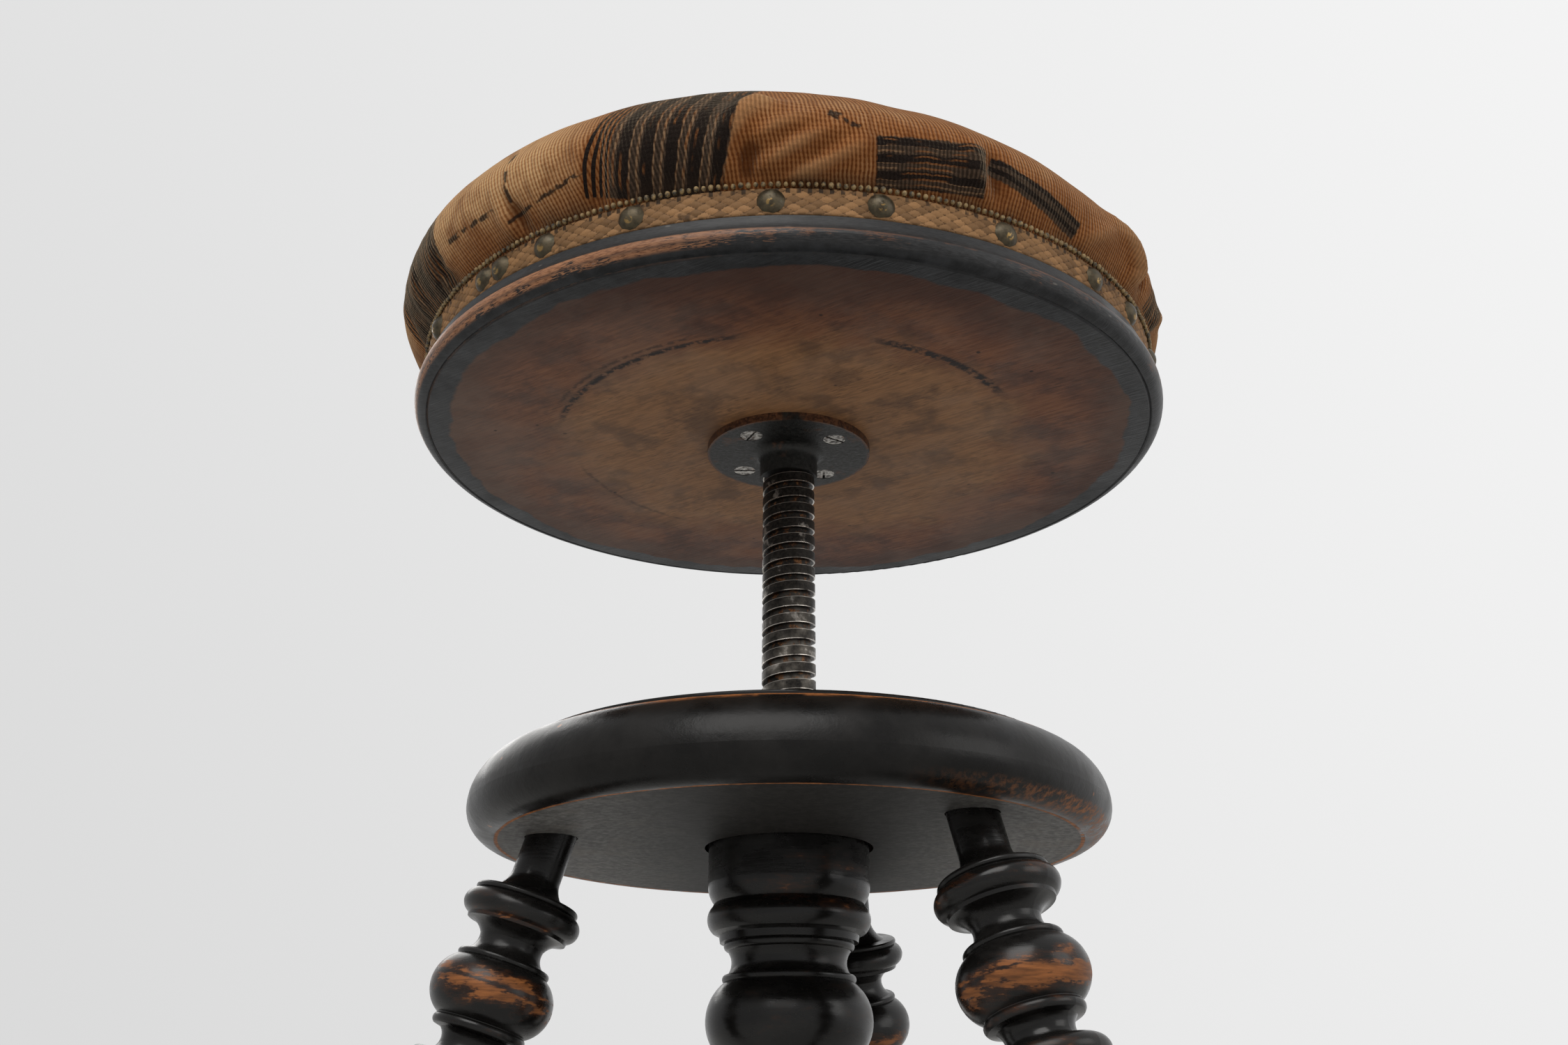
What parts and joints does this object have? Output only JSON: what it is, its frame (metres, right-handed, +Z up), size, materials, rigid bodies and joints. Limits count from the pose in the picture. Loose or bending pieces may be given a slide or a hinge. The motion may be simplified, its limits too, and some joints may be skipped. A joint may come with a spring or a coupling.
{
  "type": "revolving piano stool",
  "caption": "Height-adjustable round stool: a domed, nailed cushion on a steel screw that turns in a turned, ebonised tripod base with stretchers.",
  "frame": {"origin": "on the floor, on the spindle's axis, midway between the three feet", "axes": "+Z up along the spindle; +X to the right and +Y away, seen as the picture shows it"},
  "size_m": [0.3955, 0.3933, 0.6383],
  "materials": {
    "ebonised_wood": "black-stained and waxed turned beech, rubbed through to orange-brown on its high spots",
    "seat_board_wood": "beech, black on its moulded edge and outer ring, red-brown and bare on its underside",
    "blackened_iron": "blackened iron, slightly pitted",
    "bright_steel": "worn bright steel",
    "spindle_steel": "dark steel with bright worn thread edges",
    "nail_brass": "tarnished domed brass with rubbed bright spots",
    "gimp": "straw and ochre woven upholstery gimp with a beaded upper edge",
    "moquette": "ribbed cut-pile moquette in golden ochre with black, charcoal and grey-brown stripe blocks",
    "horsehair": "curled horsehair under calico"
  },
  "bodies": {
    "base": {"base_plate": "ebonised_wood", "spindle_nut": "blackened_iron", "nut_screws": "bright_steel", "centre_post": "ebonised_wood", "post_finial": "ebonised_wood", "leg_1": "ebonised_wood", "leg_2": "ebonised_wood", "leg_3": "ebonised_wood", "stretcher_1": "ebonised_wood", "stretcher_2": "ebonised_wood", "stretcher_3": "ebonised_wood"},
    "stop": {"stop_washer": "bright_steel"},
    "seat": {"seat_board": "seat_board_wood", "cushion_cover": "moquette", "cushion_stuffing": "horsehair", "gimp_braid": "gimp", "gimp_nails": "nail_brass", "cover_tacks": "bright_steel", "spindle": "spindle_steel", "spindle_flange": "blackened_iron", "flange_screws": "bright_steel", "stop_screw": "bright_steel"}
  },
  "joints": [
    {"name": "seat_rise", "type": "slide", "parent": "base", "child": "stop", "axis": [0, 0, 1], "range_m": [-0.133, 0.0347]},
    {"name": "seat_turn", "type": "hinge", "parent": "stop", "child": "seat", "pos_m": [0, 0, 0.322], "axis": [0, 0, 1], "range_deg": [-6372, 1656]}
  ],
  "couplings": [
    {"joint": "seat_rise", "follows": "seat_turn", "m_per_rad": 0.0011937}
  ]
}
